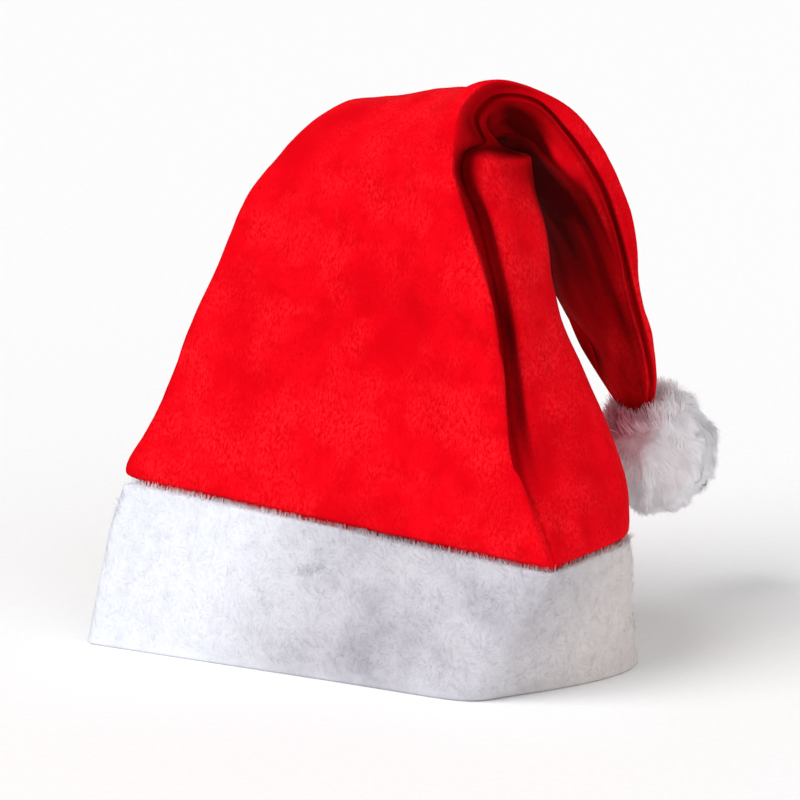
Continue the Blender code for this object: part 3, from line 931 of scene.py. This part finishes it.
def plush_painted_light_and_shade(tree, where, share=1.0):
    """The plush's colour: a painted-lit blue-white left, a grey middle and warm grey right in painted
    shade, lilac-grey clouds.
    """
    across = {0: where, 1: PLUSH_ACROSS}
    across = add_node(tree, "ShaderNodeVectorMath", across, operation="DOT_PRODUCT").outputs["Value"]
    clouds = speckle(tree, where, 30 * MM, detail=3)
    cool, dim, plain, warm = (
        darker(colour, share) for colour in (PLUSH_PAINTED_LIGHT, PLUSH_PAINTED_SHADE_CLOUD, PLUSH_PAINTED_SHADE, PLUSH_PAINTED_SHADE_WARM)
    )
    colour = blended(tree, clouds, dim, plain, low=0.34, high=0.60)
    # Painted light on the left and painted shade in the middle and on the right, along PLUSH_ACROSS.
    colour = blended(tree, across, cool, colour, *PLUSH_LEFT)
    return blended(tree, across, colour, warm, *PLUSH_RIGHT)


def white_plush():
    """Brushed white plush with soft wisps and a fine nap, its colour carrying painted light and shade
    across the band.
    """
    made, tree, shader, where = finish_nodes("white_plush", sheen=0.25)
    wisps = speckle(tree, where, 7 * MM, detail=4, rough=0.6)
    nap = speckle(tree, where, 1.4 * MM, detail=3, rough=0.65)
    deep = plush_painted_light_and_shade(tree, where, PLUSH_DEEP)
    colour = blended(tree, wisps, deep, plush_painted_light_and_shade(tree, where), low=0.26, high=0.50)
    colour = blended(tree, nap, deep, colour, low=0.26, high=0.46)
    tree.links.new(colour, shader.inputs["Base Color"])
    raised(tree, shader, [(wisps, 0.4, 0.9 * MM), (nap, 0.35, 0.4 * MM)])
    return made


def blushed(tree, where, colour):
    """The colour, turning pink near the side of the ball where the felt's tip goes in."""
    away = add_node(tree, "ShaderNodeVectorMath", {0: where, 1: BLUSH_PLACE}, operation="DISTANCE")
    wander = speckle(tree, where, 4 * MM, detail=3)
    reach = {0: wander, 1: BLUSH_WANDER, 2: away.outputs["Value"]}
    reach = add_node(tree, "ShaderNodeMath", reach, operation="MULTIPLY_ADD").outputs[0]
    return blended(tree, reach, BLUSH, colour, BLUSH_NEAR, BLUSH_FAR)


def white_fluff():
    """The ball's fluff: white, with a blush of the red fibres that stick in it round the felt's tip."""
    made, tree, shader, where = finish_nodes("white_fluff", sheen=0.3)
    clouds = speckle(tree, where, 14 * MM, detail=3)
    wisps = speckle(tree, where, 3 * MM, detail=4, rough=0.6)
    colour = blended(tree, clouds, FLUFF_COOL, FLUFF_WARM)
    colour = blended(tree, wisps, FLUFF_SHADE, colour, low=0.30, high=0.50)
    colour = blushed(tree, where, colour)
    tree.links.new(colour, shader.inputs["Base Color"])
    raised(tree, shader, [(wisps, 0.4, 0.6 * MM)])
    return made


def strand_tone(tree, where, share=1.0):
    """The colour of the ball's strands: white, pink near the felt's tip."""
    return blushed(tree, where, darker(FLUFF_STRAND, share))


def pile_finish(name, tone, deep):
    """Soft fibres of a tone, with patches of a share of it."""
    made, tree, shader, where = finish_nodes(name, sheen=0.2)
    patches = speckle(tree, where, 4 * MM)
    colour = blended(tree, patches, tone(tree, where, deep), tone(tree, where), low=0.25, high=0.50)
    tree.links.new(colour, shader.inputs["Base Color"])
    return made


def floor_paper():
    """Pale paper with a faint grain."""
    made, tree, shader, where = finish_nodes("floor_paper", roughness=0.9)
    grain = speckle(tree, where, 3 * MM)
    tree.links.new(blended(tree, grain, *FLOOR_TONES), shader.inputs["Base Color"])
    return made


def dress_crown():
    """The felt with its finish, in place of the plain crown."""
    crown = make_crown()
    crown.data.materials.append(red_felt())
    mark_painted_fold_shade(crown)
    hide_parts("crown")
    return crown


def dress_band():
    """The band, its brushed nap and the fringe along its top, in place of the plain band."""
    band = make_band()
    band.data.materials.append(white_plush())
    # The nap's fibres carry the same painted light and shade as the plush.
    hair = pile_finish("white_pile", plush_painted_light_and_shade, PLUSH_DEEP)
    fibre = make_fibre(SHORT_FIBRE)
    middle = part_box("band")[0].lerp(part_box("band")[1], 0.5)

    def outside(vert):
        """Whether a vertex is on the band's outer side."""
        return vert.normal.dot(vert.co - middle) > 0

    mark_pile(band, lambda v: float(outside(v) and v.co.z > NAP_LOWEST))
    nap = grow_pile(band, fibre, BAND_NAP, hair)
    mark_pile(band, lambda v: float(outside(v) and v.normal.z > FRINGE_FACING))
    fringe = grow_pile(band, fibre, BAND_FRINGE, hair)
    bpy.data.objects.remove(fibre)
    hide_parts("band")
    return band, nap, fringe


def collar_share(vert):
    """How thickly the fringe round the felt's tip grows at a vertex of the ball, from 0 to 1."""
    way = (vert.co - Vector(POMPOM_CENTRE)).angle(POMPOM_TOP)
    return max(0, 1 - abs(way - COLLAR_ANGLE) / COLLAR_WIDTH)


def dress_ball():
    """The ball, its wisps and the fringe round the felt's tip, in place of the plain pompom."""
    ball = make_pompom()
    ball.data.materials.append(white_fluff())
    hair = pile_finish("white_strands", strand_tone, FLUFF_DEEP)
    fibre = make_fibre(LONG_FIBRE)
    mark_pile(ball, lambda v: 1.0)
    wisps = grow_pile(ball, fibre, BALL_WISPS, hair)
    mark_pile(ball, collar_share)
    fringe = grow_pile(ball, fibre, BALL_FRINGE, hair)
    bpy.data.objects.remove(fibre)
    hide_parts("pompom")
    return ball, wisps, fringe


def place_lamp(lamp):
    """Even light from far off."""
    side, rise = math.radians(lamp.side), math.radians(lamp.rise)
    light = bpy.data.lights.new(lamp.name, "SUN")
    light.energy = lamp.strength
    light.angle = math.radians(lamp.softness)
    made = bpy.data.objects.new(lamp.name, light)
    way = Vector((math.sin(side) * math.cos(rise), math.cos(side) * math.cos(rise), -math.sin(rise)))
    made.rotation_mode = "QUATERNION"
    made.rotation_quaternion = way.to_track_quat("-Z", "Y")
    bpy.context.scene.collection.objects.link(made)


def make_studio():
    """A pale floor, a white world, and soft light from the front left, with less from the right."""
    world = bpy.data.worlds.new("studio")
    world.use_nodes = True
    world.node_tree.nodes["Background"].inputs["Color"].default_value = (*WHITE, 1)
    world.node_tree.nodes["Background"].inputs["Strength"].default_value = WORLD_STRENGTH
    bpy.context.scene.world = world
    bpy.context.scene.view_settings.view_transform = "Standard"
    for lamp in LAMPS:
        place_lamp(lamp)
    bm = bmesh.new()
    bmesh.ops.create_grid(bm, x_segments=1, y_segments=1, size=FLOOR_REACH)
    floor = new_piece("floor", bm)
    floor.data.materials.append(floor_paper())


def make_camera():
    """A long lens at the photograph's angle, 15 degrees above the hat, aimed at its middle."""
    data = bpy.data.cameras.new("camera")
    data.sensor_width = SENSOR_WIDTH
    data.lens = data.sensor_width * CAMERA_DISTANCE / (PIXEL * PHOTO_SIDE)
    data.clip_start, data.clip_end = CAMERA_CLIP
    camera = bpy.data.objects.new("camera", data)
    back = Vector((0, -math.cos(CAMERA_RISE), math.sin(CAMERA_RISE)))
    camera.location = CAMERA_AIM + back * CAMERA_DISTANCE
    camera.rotation_mode = "QUATERNION"
    camera.rotation_quaternion = (-back).to_track_quat("-Z", "Y")
    bpy.context.scene.collection.objects.link(camera)
    bpy.context.scene.camera = camera


def main():
    """Makes the hat's pieces, attaches each to the body it rides on, and sets up the studio."""
    crown = dress_crown()
    band, band_pile, band_edge = dress_band()
    ball, wisps, collar = dress_ball()
    for piece in (crown, band, band_pile, band_edge, ball, wisps, collar):
        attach(piece, "root")
    make_studio()
    make_camera()


main()
